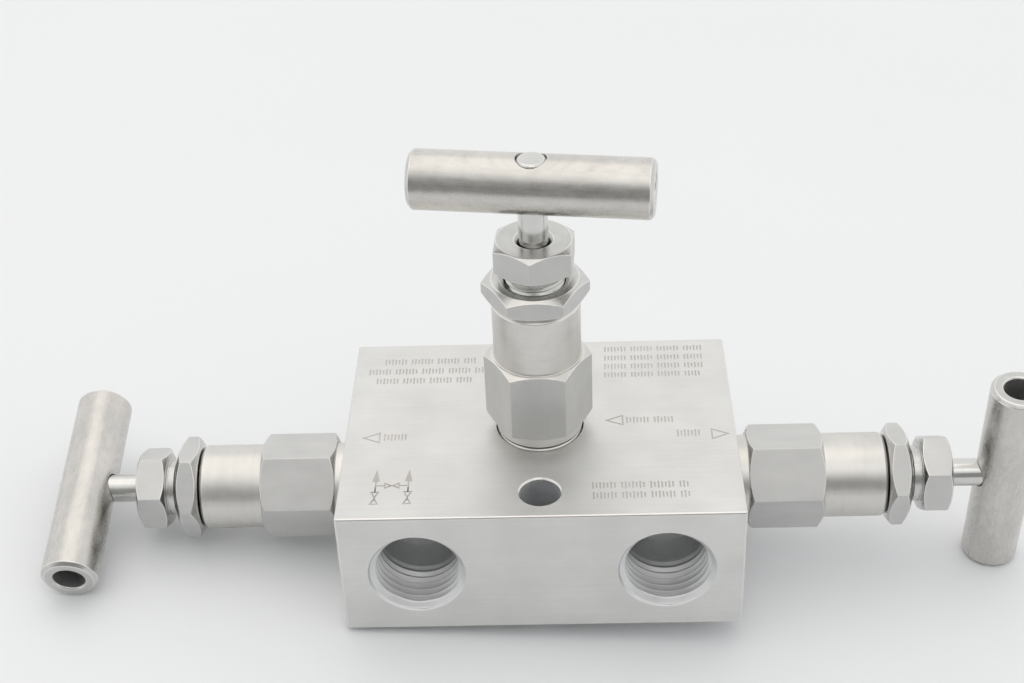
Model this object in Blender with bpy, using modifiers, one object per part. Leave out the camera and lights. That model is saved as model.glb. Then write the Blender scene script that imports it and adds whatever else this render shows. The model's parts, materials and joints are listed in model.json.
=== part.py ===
"""Three-valve manifold: one ported block carrying three identical needle valves.

The block's bottom face lies on Z = 0 with its centre at the origin, +X runs along the
row of ports and -Y is the process side. The equalizing valve stands on top and the two
isolating valves stick out of the left and right sides. Lengths are metres.
"""
import math

import bmesh
import bpy
from mathutils import Vector

MM = 0.001
FULL_TURN = 2 * math.pi

# Clearances
GAP = 0.3 * MM                       # between pieces that touch or screw together
RUNNING_GAP = 0.1 * MM               # round a piece that turns or slides

# Facets round a circle
FINE_STEPS = 32
ROUND_STEPS = 24
SMALL_STEPS = 16

# Manifold block
BLOCK_WIDTH = 87.3 * MM
BLOCK_DEPTH = 63.5 * MM
BLOCK_HEIGHT = 31.75 * MM
BLOCK_EDGE = 0.5 * MM
SIDE_AXIS_HEIGHT = 15.2 * MM         # isolating valves' axis above the base

# Half-inch pipe ports
PORT_SPACING = 54.0 * MM
PORT_HEIGHT = BLOCK_HEIGHT / 2
PORT_MOUTH_RADIUS = 10.65 * MM
PORT_BORE_RADIUS = 9.16 * MM         # thread crests at the mouth
PORT_TAPER = 1 / 32                  # radius lost for each unit of depth
PORT_DEPTH = 19.0 * MM

# Bolt holes straight down through the block
BOLT_HOLE_RADIUS = 4.35 * MM
BOLT_HOLE_OFFSET = 23.7 * MM
BOLT_HOLE_CHAMFER = 0.4 * MM

# Valve cavity in the block, measured down from the face that the bonnet screws into
SPIGOT_RADIUS = 9.525 * MM
SPIGOT_DEPTH = 13.0 * MM
SEAL_THICKNESS = 1.3 * MM
SEAL_BORE_RADIUS = 6.7 * MM
SHOULDER_DEPTH = SPIGOT_DEPTH + SEAL_THICKNESS + 2 * GAP
CHAMBER_RADIUS = 6.35 * MM
CHAMBER_DEPTH = 18.4 * MM
SEAT_RADIUS = 4.5 * MM
ORIFICE_RADIUS = 2.4 * MM
ORIFICE_DEPTH = 25.0 * MM
UPSTREAM_DEPTH = 22.75 * MM          # drilling that meets the orifice below the seat
DOWNSTREAM_DEPTH = 16.75 * MM        # drilling that meets the chamber above the seat
UPSTREAM_RADIUS = 2.0 * MM
DRILLING_RADIUS = 1.6 * MM

# Bonnet, measured up from the block's face
COLLAR_RADIUS = 9.6 * MM
COLLAR_HEIGHT = 3.1 * MM
BONNET_FLATS = 20.64 * MM
BONNET_HEX_TOP = 20.1 * MM
BARREL_RADIUS = 9.6 * MM
BARREL_TOP = 34.2 * MM
BARREL_CHAMFER = 0.7 * MM
BACKSEAT_DEPTH = 6.5 * MM
SKIRT_BORE_RADIUS = 6.0 * MM
PACKING_BASE = 14.2 * MM
PACKING_RADIUS = 6.2 * MM
ADJUSTER_THREAD_BASE = 25.0 * MM

# Lock nut
LOCK_NUT_FLATS = 20.26 * MM
LOCK_NUT_BASE = 34.5 * MM
LOCK_NUT_TOP = 39.5 * MM
LOCK_NUT_FACE_RADIUS = 9.4 * MM
LOCK_NUT_MOUTH_RADIUS = 7.8 * MM

# Packing adjuster: a hexagon head on a threaded shank
ADJUSTER_FLATS = 16.4 * MM
ADJUSTER_FACE_RADIUS = 8.0 * MM
ADJUSTER_HEAD_BASE = 42.3 * MM
ADJUSTER_HEAD_TOP = 48.9 * MM
ADJUSTER_SHANK_RADIUS = 6.35 * MM
ADJUSTER_SHANK_BASE = 25.9 * MM
ADJUSTER_MOUTH_RADIUS = 4.2 * MM

# Packing stack, each piece with its own base height and thickness
WASHER_BASE = PACKING_BASE + GAP
WASHER_THICKNESS = 1.2 * MM
RING_THICKNESS = 3.0 * MM
LOWER_RING_BASE = WASHER_BASE + WASHER_THICKNESS + GAP
UPPER_RING_BASE = LOWER_RING_BASE + RING_THICKNESS + GAP
FOLLOWER_BASE = UPPER_RING_BASE + RING_THICKNESS + GAP
FOLLOWER_THICKNESS = ADJUSTER_SHANK_BASE - GAP - FOLLOWER_BASE

# Stem and tip
STEM_RADIUS = 3.15 * MM
STEM_THREAD_RADIUS = 4.76 * MM
STEM_THREAD_BASE = -9.0 * MM
STEM_THREAD_TOP = 8.0 * MM
STEM_FLANGE_RADIUS = 5.5 * MM
STEM_BASE = -12.0 * MM
SWIVEL_RADIUS = 2.1 * MM
SWIVEL_BASE = -16.0 * MM
TIP_RADIUS = 3.9 * MM
TIP_NOSE_RADIUS = 1.5 * MM
TIP_TOP = -12.3 * MM
SEAT_CLEARANCE = 0.42 * MM           # along the axis, between the closed tip and its seat

# T-bar handle
BAR_RADIUS = 6.35 * MM
BAR_LENGTH = 50.8 * MM
BAR_HEIGHT = 62.0 * MM
BAR_CHAMFER = 0.8 * MM
BAR_BORE_RADIUS = 3.5 * MM
BAR_STEM_HOLE_RADIUS = 3.45 * MM
STEM_TOP_RECESS = 0.4 * MM           # stem's end below the bar's crown
SET_SCREW_RADIUS = 3.2 * MM
SET_SCREW_LENGTH = 7.0 * MM
SOCKET_FLATS = 3.0 * MM
SOCKET_DEPTH = 3.0 * MM

CHAMFER_SLOPE = math.tan(math.radians(30))   # rise over run of a nut's corner chamfer

# Each valve: where its axis leaves the block, how +Z turns to point outwards, then the
# turns of its bonnet, lock nut, adjuster and handle about that axis, in degrees
VALVES = (
    ("equalize", (0, 0, BLOCK_HEIGHT), 0, (0, 0, 25, -7.6)),
    ("left", (-BLOCK_WIDTH / 2, 0, SIDE_AXIS_HEIGHT), -90, (40, 38, -8, 77)),
    ("right", (BLOCK_WIDTH / 2, 0, SIDE_AXIS_HEIGHT), 90, (20, 17, 55, 5)),
)


# ---------------------------------------------------------------- scene and materials

def clear_scene():
    """Remove every object, and the meshes and materials that they leave behind."""
    for item in list(bpy.data.objects):
        bpy.data.objects.remove(item, do_unlink=True)
    for store in (bpy.data.meshes, bpy.data.materials, bpy.data.collections):
        for item in list(store):
            store.remove(item)


def new_collection(name):
    collection = bpy.data.collections.new(name)
    bpy.context.scene.collection.children.link(collection)
    return collection


def new_material(name, color, roughness, metallic):
    material = bpy.data.materials.new(name)
    material.use_nodes = True
    surface = material.node_tree.nodes["Principled BSDF"]
    surface.inputs["Base Color"].default_value = (*color, 1.0)
    surface.inputs["Roughness"].default_value = roughness
    surface.inputs["Metallic"].default_value = metallic
    return material


# ---------------------------------------------------------------------- mesh helpers

def add_object(name, mesh, collection, parent=None):
    item = bpy.data.objects.new(name, mesh)
    collection.objects.link(item)
    item.parent = parent
    return item


def add_part(name, item, parts, color, roughness=0.3, metallic=1.0):
    """Name a finished piece, move it to the parts and give it its own material."""
    for collection in list(item.users_collection):
        collection.objects.unlink(item)
    parts.objects.link(item)
    item.name = name
    item.data.name = name
    item.data.materials.append(new_material(name, color, roughness, metallic))
    return item


def turned(name, profile, collection, parent, steps=ROUND_STEPS, tube=False):
    """Turn a profile of (radius, height) points, outer side top to bottom, about +Z."""
    mesh = bpy.data.meshes.new(name)
    outline = bmesh.new()
    points = [outline.verts.new((radius, 0, height)) for radius, height in profile]
    for first, second in zip(points, points[1:]):
        outline.edges.new((first, second))
    if tube:
        outline.edges.new((points[-1], points[0]))
    outline.to_mesh(mesh)
    outline.free()
    item = add_object(name, mesh, collection, parent)
    screw = item.modifiers.new("turn", "SCREW")
    screw.angle = FULL_TURN
    screw.steps = steps
    screw.render_steps = steps
    screw.use_merge_vertices = True
    screw.merge_threshold = 0.00001
    return item


def straight_cylinder(name, radius, start, end, collection, parent=None, steps=SMALL_STEPS):
    """A plain cylinder between two points, used as a cutter for drilled holes."""
    start, end = Vector(start), Vector(end)
    mesh = bpy.data.meshes.new(name)
    shape = bmesh.new()
    bmesh.ops.create_cone(shape, cap_ends=True, segments=steps, radius1=radius,
                          radius2=radius, depth=(end - start).length)
    shape.to_mesh(mesh)
    shape.free()
    item = add_object(name, mesh, collection, parent)
    item.location = (start + end) / 2
    item.rotation_mode = "QUATERNION"
    item.rotation_quaternion = (end - start).to_track_quat("Z", "Y")
    return item


def flats_cutter(name, across_flats, base, top, turn, collection, parent):
    """A thick six-sided tube whose inner walls are a hexagon's flats.

    At turn 0 the hexagon's corners lie on +X and -X.
    """
    wall = 5 * MM
    first_corner = 30
    corner_radius = across_flats / 2 / math.cos(math.pi / 6)
    mesh = bpy.data.meshes.new(name)
    shape = bmesh.new()
    bmesh.ops.create_cone(shape, cap_ends=False, segments=6, radius1=corner_radius,
                          radius2=corner_radius, depth=top - base)
    shape.to_mesh(mesh)
    shape.free()
    item = add_object(name, mesh, collection, parent)
    item.location = (0, 0, (base + top) / 2)
    item.rotation_euler = (0, 0, math.radians(turn + first_corner))
    shell = item.modifiers.new("wall", "SOLIDIFY")
    shell.thickness = wall
    shell.offset = 1
    shell.use_even_offset = True
    return item


def hexagon_prism(name, across_flats, base, top, collection, parent):
    corner_radius = across_flats / 2 / math.cos(math.pi / 6)
    mesh = bpy.data.meshes.new(name)
    shape = bmesh.new()
    bmesh.ops.create_cone(shape, cap_ends=True, segments=6, radius1=corner_radius,
                          radius2=corner_radius, depth=top - base)
    shape.to_mesh(mesh)
    shape.free()
    item = add_object(name, mesh, collection, parent)
    item.location = (0, 0, (base + top) / 2)
    return item


def cut(item, cutter):
    """Take the cutter out of the item and keep it as a hidden guide."""
    cut_modifier = item.modifiers.new(cutter.name, "BOOLEAN")
    cut_modifier.operation = "DIFFERENCE"
    cut_modifier.solver = "EXACT"
    cut_modifier.object = cutter
    cutter.hide_render = True
    cutter.display_type = "WIRE"


def smooth_sides(item):
    """Shade the turned faces smooth and leave the corners crisp."""
    item.data.shade_smooth()
    item.data.set_sharp_from_angle(angle=math.radians(35))
    screw = item.modifiers.get("turn")
    if screw:
        screw.use_smooth_shade = True


def hexagon_band(across_flats, face_radius, base, top):
    """Profile points of a hexagon's turned blank, chamfered at both ends."""
    corner_radius = across_flats / 2 / math.cos(math.pi / 6) + GAP
    rise = (corner_radius - face_radius) * CHAMFER_SLOPE
    return [(face_radius, top), (corner_radius, top - rise),
            (corner_radius, base + rise), (face_radius, base)]


# ------------------------------------------------------------------- manifold block

def valve_cavity_profile():
    """Stepped hole for one valve: bonnet thread, seal shoulder, chamber, seat, orifice."""
    seat_drop = SEAT_RADIUS - ORIFICE_RADIUS
    wall = SPIGOT_RADIUS + GAP
    above_face = 1 * MM
    return [(0, above_face), (wall, above_face), (wall, -SHOULDER_DEPTH),
            (CHAMBER_RADIUS, -SHOULDER_DEPTH), (CHAMBER_RADIUS, -CHAMBER_DEPTH),
            (SEAT_RADIUS, -CHAMBER_DEPTH), (ORIFICE_RADIUS, -CHAMBER_DEPTH - seat_drop),
            (ORIFICE_RADIUS, -ORIFICE_DEPTH), (0, -ORIFICE_DEPTH)]


def port_profile():
    """Tapered pipe port along +Z, mouth at the top, with a countersunk entry."""
    above_face = 1 * MM
    sink = PORT_MOUTH_RADIUS - PORT_BORE_RADIUS
    end_radius = PORT_BORE_RADIUS - PORT_DEPTH * PORT_TAPER
    return [(0, above_face), (PORT_MOUTH_RADIUS, above_face), (PORT_MOUTH_RADIUS, 0),
            (PORT_BORE_RADIUS, -sink), (end_radius, -PORT_DEPTH), (0, -PORT_DEPTH)]


def bolt_hole_profile():
    """Through hole with a small chamfer at each face."""
    over = 1 * MM
    wide = BOLT_HOLE_RADIUS + BOLT_HOLE_CHAMFER
    low = BOLT_HOLE_CHAMFER
    high = BLOCK_HEIGHT - BOLT_HOLE_CHAMFER
    return [(0, BLOCK_HEIGHT + over), (wide, BLOCK_HEIGHT + over), (wide, BLOCK_HEIGHT),
            (BOLT_HOLE_RADIUS, high), (BOLT_HOLE_RADIUS, low), (wide, 0), (wide, -over),
            (0, -over)]


def block_cutters(axes, cutters):
    """Every hole in the block, as (cutter) solids: valve cavities, ports and drillings."""
    holes = []
    for name, axis in axes.items():
        holes.append(turned(name + "_cavity", valve_cavity_profile(), cutters, axis))
    for side, side_name in ((-1, "left"), (1, "right")):
        x = side * PORT_SPACING / 2
        for face, face_name in ((-1, "process"), (1, "instrument")):
            port = turned(f"{side_name}_{face_name}_port", port_profile(), cutters, None,
                          FINE_STEPS)
            port.location = (x, face * BLOCK_DEPTH / 2, PORT_HEIGHT)
            port.rotation_euler = (-face * math.pi / 2, 0, 0)
            holes.append(port)
        holes.append(upstream_drilling(side, side_name, cutters))
        holes.append(downstream_drilling(side, side_name, cutters))
        holes.append(equalizing_drilling(side, side_name, cutters))
    for face, face_name in ((-1, "front"), (1, "rear")):
        hole = turned(face_name + "_bolt_hole", bolt_hole_profile(), cutters, None)
        hole.location = (0, face * BOLT_HOLE_OFFSET, 0)
        holes.append(hole)
    return holes


def upstream_drilling(side, side_name, cutters):
    """From the process port's floor to the orifice under the isolating seat."""
    x = side * (BLOCK_WIDTH / 2 - UPSTREAM_DEPTH)
    port_floor = -BLOCK_DEPTH / 2 + PORT_DEPTH
    return straight_cylinder(side_name + "_upstream_drilling", UPSTREAM_RADIUS,
                             (x, port_floor - 2 * MM, SIDE_AXIS_HEIGHT),
                             (x, 0, SIDE_AXIS_HEIGHT), cutters)


def downstream_drilling(side, side_name, cutters):
    """From the isolating valve's chamber to the instrument port's floor."""
    x = side * (BLOCK_WIDTH / 2 - DOWNSTREAM_DEPTH)
    port_floor = BLOCK_DEPTH / 2 - PORT_DEPTH
    return straight_cylinder(side_name + "_downstream_drilling", DRILLING_RADIUS,
                             (x, 5 * MM, SIDE_AXIS_HEIGHT),
                             (x, port_floor + 2 * MM, SIDE_AXIS_HEIGHT), cutters)


def equalizing_drilling(side, side_name, cutters):
    """Slanted hole from an instrument port to the equalizing valve.

    The left one opens above the equalizing seat and the right one below it.
    """
    port_floor = BLOCK_DEPTH / 2 - PORT_DEPTH
    start = (side * 21.5 * MM, port_floor + 0.5 * MM, PORT_HEIGHT)
    if side < 0:
        end = (-3 * MM, 1.5 * MM, BLOCK_HEIGHT - DOWNSTREAM_DEPTH)
    else:
        end = (1 * MM, 0.6 * MM, BLOCK_HEIGHT - UPSTREAM_DEPTH - 1 * MM)
    return straight_cylinder(side_name + "_equalizing_drilling", DRILLING_RADIUS, start,
                             end, cutters)


def make_block(axes, parts, cutters):
    mesh = bpy.data.meshes.new("block")
    shape = bmesh.new()
    bmesh.ops.create_cube(shape, size=1)
    bmesh.ops.scale(shape, verts=shape.verts, vec=(BLOCK_WIDTH, BLOCK_DEPTH, BLOCK_HEIGHT))
    bmesh.ops.translate(shape, verts=shape.verts, vec=(0, 0, BLOCK_HEIGHT / 2))
    shape.to_mesh(mesh)
    shape.free()
    block = add_object("block", mesh, parts)
    edge = block.modifiers.new("edge", "BEVEL")
    edge.width = BLOCK_EDGE
    edge.segments = 1
    for cutter in block_cutters(axes, cutters):
        cut(block, cutter)
    smooth_sides(block)
    add_part("manifold_block", block, parts, (0.62, 0.62, 0.60), 0.35)


# ----------------------------------------------------------------------- valve pieces

def make_bonnet(name, turn, axis, parts, cutters):
    """Body of the valve: thread into the block, collar, hexagon and packing barrel."""
    lower_bore = STEM_THREAD_RADIUS + RUNNING_GAP
    neck_bore = STEM_RADIUS + GAP
    thread_top = STEM_THREAD_TOP + 4.3 * MM
    upper_bore = ADJUSTER_SHANK_RADIUS + GAP
    chamfer = BARREL_CHAMFER
    collar_edge = 0.4 * MM
    hexagon = hexagon_band(BONNET_FLATS, 10.2 * MM, COLLAR_HEIGHT, BONNET_HEX_TOP)
    profile = [(BARREL_RADIUS - chamfer, BARREL_TOP), (BARREL_RADIUS, BARREL_TOP - chamfer),
               (BARREL_RADIUS, BONNET_HEX_TOP), *hexagon, (COLLAR_RADIUS, COLLAR_HEIGHT),
               (COLLAR_RADIUS, collar_edge + GAP), (COLLAR_RADIUS - collar_edge, GAP),
               (SPIGOT_RADIUS - collar_edge, 0), (SPIGOT_RADIUS, -collar_edge),
               (SPIGOT_RADIUS, -SPIGOT_DEPTH), (SKIRT_BORE_RADIUS, -SPIGOT_DEPTH),
               (SKIRT_BORE_RADIUS, -BACKSEAT_DEPTH), (lower_bore, -BACKSEAT_DEPTH),
               (lower_bore, thread_top), (neck_bore, thread_top),
               (neck_bore, PACKING_BASE), (PACKING_RADIUS, PACKING_BASE),
               (PACKING_RADIUS, ADJUSTER_THREAD_BASE), (upper_bore, ADJUSTER_THREAD_BASE),
               (upper_bore, BARREL_TOP)]
    bonnet = turned(name, profile, parts, axis, tube=True)
    cut(bonnet, flats_cutter(name + "_flats", BONNET_FLATS, COLLAR_HEIGHT, BONNET_HEX_TOP,
                             turn, cutters, axis))
    smooth_sides(bonnet)
    add_part(name + "_bonnet", bonnet, parts, (0.60, 0.60, 0.58))


def make_lock_nut(name, turn, axis, parts, cutters):
    bore = ADJUSTER_SHANK_RADIUS + GAP
    mouth_drop = (LOCK_NUT_MOUTH_RADIUS - bore) / 2
    band = hexagon_band(LOCK_NUT_FLATS, LOCK_NUT_FACE_RADIUS, LOCK_NUT_BASE, LOCK_NUT_TOP)
    profile = [*band, (LOCK_NUT_MOUTH_RADIUS, LOCK_NUT_BASE),
               (bore, LOCK_NUT_BASE + mouth_drop), (bore, LOCK_NUT_TOP - mouth_drop),
               (LOCK_NUT_MOUTH_RADIUS, LOCK_NUT_TOP)]
    nut = turned(name, profile, parts, axis, tube=True)
    cut(nut, flats_cutter(name + "_nut_flats", LOCK_NUT_FLATS, LOCK_NUT_BASE - GAP,
                          LOCK_NUT_TOP + GAP, turn, cutters, axis))
    smooth_sides(nut)
    add_part(name + "_lock_nut", nut, parts, (0.58, 0.58, 0.57))


def make_adjuster(name, turn, axis, parts, cutters):
    """Packing adjuster: the small top hexagon, whose shank presses the packing down."""
    bore = STEM_RADIUS + GAP
    mouth = ADJUSTER_MOUTH_RADIUS
    chamfer = 0.6 * MM
    band = hexagon_band(ADJUSTER_FLATS, ADJUSTER_FACE_RADIUS, ADJUSTER_HEAD_BASE,
                        ADJUSTER_HEAD_TOP)
    profile = [*band, (ADJUSTER_SHANK_RADIUS, ADJUSTER_HEAD_BASE),
               (ADJUSTER_SHANK_RADIUS, ADJUSTER_SHANK_BASE + chamfer),
               (ADJUSTER_SHANK_RADIUS - chamfer, ADJUSTER_SHANK_BASE),
               (bore, ADJUSTER_SHANK_BASE), (bore, ADJUSTER_HEAD_TOP - (mouth - bore)),
               (mouth, ADJUSTER_HEAD_TOP)]
    adjuster = turned(name, profile, parts, axis, tube=True)
    cut(adjuster, flats_cutter(name + "_head_flats", ADJUSTER_FLATS, ADJUSTER_HEAD_BASE,
                               ADJUSTER_HEAD_TOP + GAP, turn, cutters, axis))
    smooth_sides(adjuster)
    add_part(name + "_packing_adjuster", adjuster, parts, (0.56, 0.56, 0.55))


def make_ring(name, inner, outer, base, thickness, axis, parts, look):
    """A plain flat-ended ring, such as a washer, seal or packing ring."""
    top = base + thickness
    profile = [(outer, top), (outer, base), (inner, base), (inner, top)]
    ring = turned(name, profile, parts, axis, SMALL_STEPS, tube=True)
    smooth_sides(ring)
    add_part(name, ring, parts, *look)


def make_packing(name, axis, parts):
    """Everything that seals the stem, stacked under the adjuster's shank."""
    inner = STEM_RADIUS + GAP
    outer = PACKING_RADIUS - GAP
    steel = ((0.55, 0.55, 0.54), 0.35, 1.0)
    plastic = ((0.86, 0.86, 0.83), 0.5, 0.0)
    make_ring(name + "_packing_washer", inner, outer, WASHER_BASE, WASHER_THICKNESS, axis,
              parts, steel)
    make_ring(name + "_packing_ring_lower", inner, outer, LOWER_RING_BASE, RING_THICKNESS,
              axis, parts, plastic)
    make_ring(name + "_packing_ring_upper", inner, outer, UPPER_RING_BASE, RING_THICKNESS,
              axis, parts, plastic)
    make_ring(name + "_packing_follower", inner, outer, FOLLOWER_BASE, FOLLOWER_THICKNESS,
              axis, parts, steel)
    make_ring(name + "_bonnet_seal", SEAL_BORE_RADIUS, SPIGOT_RADIUS,
              -SPIGOT_DEPTH - GAP - SEAL_THICKNESS, SEAL_THICKNESS, axis, parts, plastic)


def make_stem(name, axis, parts):
    """Stem: swivel button, back-seat flange, screwed length and plain upper rod."""
    chamfer = 0.4 * MM
    top = BAR_HEIGHT + BAR_RADIUS - STEM_TOP_RECESS
    flange_top = STEM_THREAD_BASE - 1.8 * MM
    profile = [(0, top), (STEM_RADIUS - chamfer, top), (STEM_RADIUS, top - chamfer),
               (STEM_RADIUS, STEM_THREAD_TOP), (STEM_THREAD_RADIUS - chamfer, STEM_THREAD_TOP),
               (STEM_THREAD_RADIUS, STEM_THREAD_TOP - chamfer),
               (STEM_THREAD_RADIUS, STEM_THREAD_BASE), (STEM_RADIUS, STEM_THREAD_BASE),
               (STEM_RADIUS, flange_top), (STEM_FLANGE_RADIUS, flange_top),
               (STEM_FLANGE_RADIUS, STEM_BASE), (SWIVEL_RADIUS, STEM_BASE),
               (SWIVEL_RADIUS, SWIVEL_BASE), (0, SWIVEL_BASE)]
    stem = turned(name, profile, parts, axis)
    smooth_sides(stem)
    add_part(name + "_stem", stem, parts, (0.66, 0.66, 0.64), 0.2)


def make_stem_tip(name, axis, parts):
    """Non-rotating needle tip: a cup round the stem's button with a conical nose."""
    socket_radius = SWIVEL_RADIUS + GAP
    socket_floor = SWIVEL_BASE - GAP
    shoulder = -CHAMBER_DEPTH - (SEAT_RADIUS - TIP_RADIUS) + SEAT_CLEARANCE
    nose = shoulder - (TIP_RADIUS - TIP_NOSE_RADIUS)
    profile = [(socket_radius, TIP_TOP), (TIP_RADIUS, TIP_TOP), (TIP_RADIUS, shoulder),
               (TIP_NOSE_RADIUS, nose), (0, nose)]
    tip = turned(name, [(0, socket_floor), (socket_radius, socket_floor), *profile], parts,
                 axis, SMALL_STEPS)
    smooth_sides(tip)
    add_part(name + "_stem_tip", tip, parts, (0.50, 0.50, 0.50), 0.25)


def make_handle(name, turn, axis, parts, cutters):
    """T-bar: a bored round bar with chamfered ends and a cross hole for the stem."""
    half = BAR_LENGTH / 2
    edge = BAR_CHAMFER
    profile = [(BAR_BORE_RADIUS, half), (BAR_RADIUS - edge, half), (BAR_RADIUS, half - edge),
               (BAR_RADIUS, edge - half), (BAR_RADIUS - edge, -half),
               (BAR_BORE_RADIUS, -half)]
    bar = turned(name, profile, parts, axis, tube=True)
    bar.location = (0, 0, BAR_HEIGHT)
    bar.rotation_euler = (0, math.pi / 2, math.radians(turn))
    over = 2 * MM
    cut(bar, straight_cylinder(name + "_stem_hole", BAR_STEM_HOLE_RADIUS,
                               (0, 0, BAR_HEIGHT - BAR_RADIUS - over),
                               (0, 0, BAR_HEIGHT + BAR_RADIUS + over), cutters, axis,
                               ROUND_STEPS))
    smooth_sides(bar)
    add_part(name + "_handle", bar, parts, (0.70, 0.69, 0.67), 0.28)


def make_set_screw(name, turn, axis, parts, cutters):
    """Socket set screw in the bar's bore, bearing on the side of the stem."""
    inner_end = STEM_RADIUS + GAP
    outer_end = inner_end + SET_SCREW_LENGTH
    point = 1.2 * MM
    profile = [(0, outer_end), (SET_SCREW_RADIUS, outer_end),
               (SET_SCREW_RADIUS, inner_end + point),
               (SET_SCREW_RADIUS - point, inner_end), (0, inner_end)]
    screw = turned(name, profile, parts, axis, SMALL_STEPS)
    screw.location = (0, 0, BAR_HEIGHT)
    screw.rotation_euler = (0, math.pi / 2, math.radians(turn))
    cut(screw, hexagon_prism(name + "_socket", SOCKET_FLATS, outer_end - SOCKET_DEPTH,
                             outer_end + 1 * MM, cutters, screw))
    smooth_sides(screw)
    add_part(name + "_handle_set_screw", screw, parts, (0.12, 0.12, 0.13), 0.45)


def make_valve(name, axis, turns, parts, cutters):
    bonnet_turn, nut_turn, adjuster_turn, handle_turn = turns
    make_bonnet(name, bonnet_turn, axis, parts, cutters)
    make_lock_nut(name, nut_turn, axis, parts, cutters)
    make_adjuster(name, adjuster_turn, axis, parts, cutters)
    make_packing(name, axis, parts)
    make_stem(name, axis, parts)
    make_stem_tip(name, axis, parts)
    make_handle(name, handle_turn, axis, parts, cutters)
    make_set_screw(name, handle_turn, axis, parts, cutters)


def make_axis(name, location, tilt, parts):
    """Empty on a valve's axis: its +Z points out of the block along the stem."""
    axis = add_object(name + "_valve_axis", None, parts)
    axis.location = location
    axis.rotation_euler = (0, math.radians(tilt), 0)
    return axis


def main():
    clear_scene()
    parts = new_collection("three_valve_manifold")
    cutters = new_collection("cutters")
    axes = {}
    for name, location, tilt, turns in VALVES:
        axes[name] = make_axis(name, location, tilt, parts)
    make_block(axes, parts, cutters)
    for name, location, tilt, turns in VALVES:
        make_valve(name, axes[name], turns, parts, cutters)


main()
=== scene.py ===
"""Looks of the three-valve manifold: machined meshes, procedural steels, studio and camera.

Each valve piece is built upright in its own valve's frame, whose +Z runs out of the block
along the stem and whose origin is on the block's face, and then takes that frame's place.
Turned pieces are profiles of (radius, height) carried round +Z, top to bottom down the
outside, so hexagons, chamfers and screw threads all come from one lathe function.
"""
import json
import math

import bmesh
import bpy
from mathutils import Matrix, Vector

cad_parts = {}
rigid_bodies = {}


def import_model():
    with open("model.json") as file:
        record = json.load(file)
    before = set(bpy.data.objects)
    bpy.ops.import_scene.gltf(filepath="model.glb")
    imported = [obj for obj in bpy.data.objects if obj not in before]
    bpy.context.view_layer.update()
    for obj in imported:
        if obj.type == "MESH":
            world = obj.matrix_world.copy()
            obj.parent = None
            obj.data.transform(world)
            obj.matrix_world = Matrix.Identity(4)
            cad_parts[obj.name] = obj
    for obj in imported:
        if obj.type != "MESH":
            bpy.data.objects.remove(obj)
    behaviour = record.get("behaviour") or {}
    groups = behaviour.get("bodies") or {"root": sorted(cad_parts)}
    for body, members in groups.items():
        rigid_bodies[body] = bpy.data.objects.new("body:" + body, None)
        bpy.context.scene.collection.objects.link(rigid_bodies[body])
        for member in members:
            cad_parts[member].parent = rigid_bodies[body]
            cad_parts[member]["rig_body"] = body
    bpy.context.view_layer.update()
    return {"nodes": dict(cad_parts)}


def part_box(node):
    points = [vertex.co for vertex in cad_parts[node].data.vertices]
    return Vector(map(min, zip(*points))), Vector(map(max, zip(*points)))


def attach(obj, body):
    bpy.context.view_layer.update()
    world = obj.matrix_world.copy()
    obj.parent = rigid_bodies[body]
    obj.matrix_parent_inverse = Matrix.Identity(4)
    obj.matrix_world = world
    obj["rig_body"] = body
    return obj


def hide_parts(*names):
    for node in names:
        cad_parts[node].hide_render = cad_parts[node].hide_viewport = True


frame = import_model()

MM = 0.001
FULL_TURN = 2 * math.pi
THIRTY = math.radians(30)

# Mesh fineness
ROUND_COLUMNS = 96
FLAT_STEPS = 12                      # columns across a hexagon's flat
SMALL_COLUMNS = 64
PORT_COLUMNS = 80
CORNER_STEPS = 2
EDGE_STEPS = 3                       # segments round a broken edge
EDGE_SHARE = 0.45                    # most of a profile's side that a broken edge may take
BLOCK_EDGE_STEPS = 4
MERGE_DISTANCE = 0.001 * MM
SHARP_ANGLE = math.radians(40)
FACE_WEIGHT = 100                    # large faces decide the shading
THREAD_STEPS = ((0.0, 1.0), (0.12, 0.88), (0.41, 0.08), (0.46, 0.0), (0.54, 0.0),
                (0.59, 0.08), (0.88, 0.88))   # (share of a pitch, share of the depth)

# Finishes a mesh face can have, as material slots
TURNED, DRAWN, EDGE, BORE = range(4)

# Gaps between pieces
GAP = 0.3 * MM
RUNNING_GAP = 0.1 * MM
BROKEN_EDGE = 0.15 * MM
HEX_CORNER_RADIUS = 0.3 * MM
OVERCUT = 1.0 * MM                   # how far a cutter stands out of the face it enters

# Block
BLOCK_EDGE = 0.5 * MM
PORT_SPACING = 54.0 * MM
PORT_MOUTH_RADIUS = 10.65 * MM
PORT_CREST_RADIUS = 9.16 * MM
PORT_TAPER = 1 / 32
PORT_DEPTH = 19.0 * MM
PORT_THREAD_LENGTH = 14.5 * MM
PORT_PITCH = 25.4 / 14 * MM
PORT_RUN_OUT = PORT_PITCH * 5
PORT_THREAD_DEPTH = 1.3 * MM
BOLT_HOLE_RADIUS = 4.35 * MM
BOLT_HOLE_OFFSET = 23.7 * MM
BOLT_HOLE_CHAMFER = 0.4 * MM

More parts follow.
